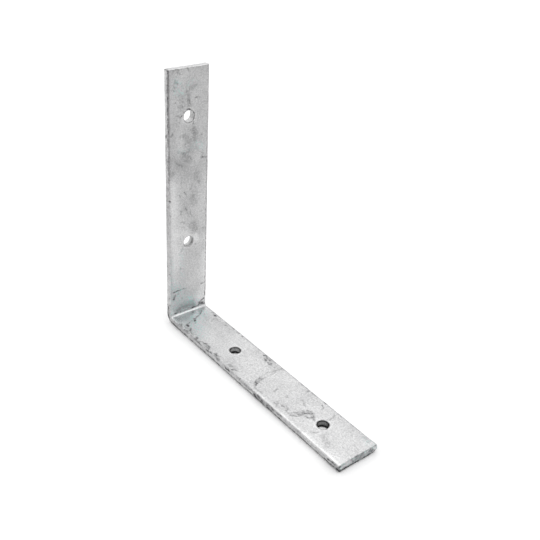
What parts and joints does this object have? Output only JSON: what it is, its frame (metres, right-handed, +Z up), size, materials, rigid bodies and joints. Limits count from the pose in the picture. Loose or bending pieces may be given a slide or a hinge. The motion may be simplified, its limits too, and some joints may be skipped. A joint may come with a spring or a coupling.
{
  "type": "angle iron bracket",
  "caption": "Heavy angle bracket of galvanised flat steel bar bent square, with equal legs and round screw holes in line on each leg.",
  "frame": {"origin": "centre of the foot's underside, midway between the back of the upright and the end of the foot, at mid width", "axes": "+X runs along the foot away from the bend, +Z up the upright, Y across the bar"},
  "size_m": [0.15, 0.025, 0.15],
  "materials": {
    "galvanised_steel": "satin"
  },
  "bodies": {
    "root": {"angle_bracket": "galvanised_steel"}
  },
  "joints": []
}
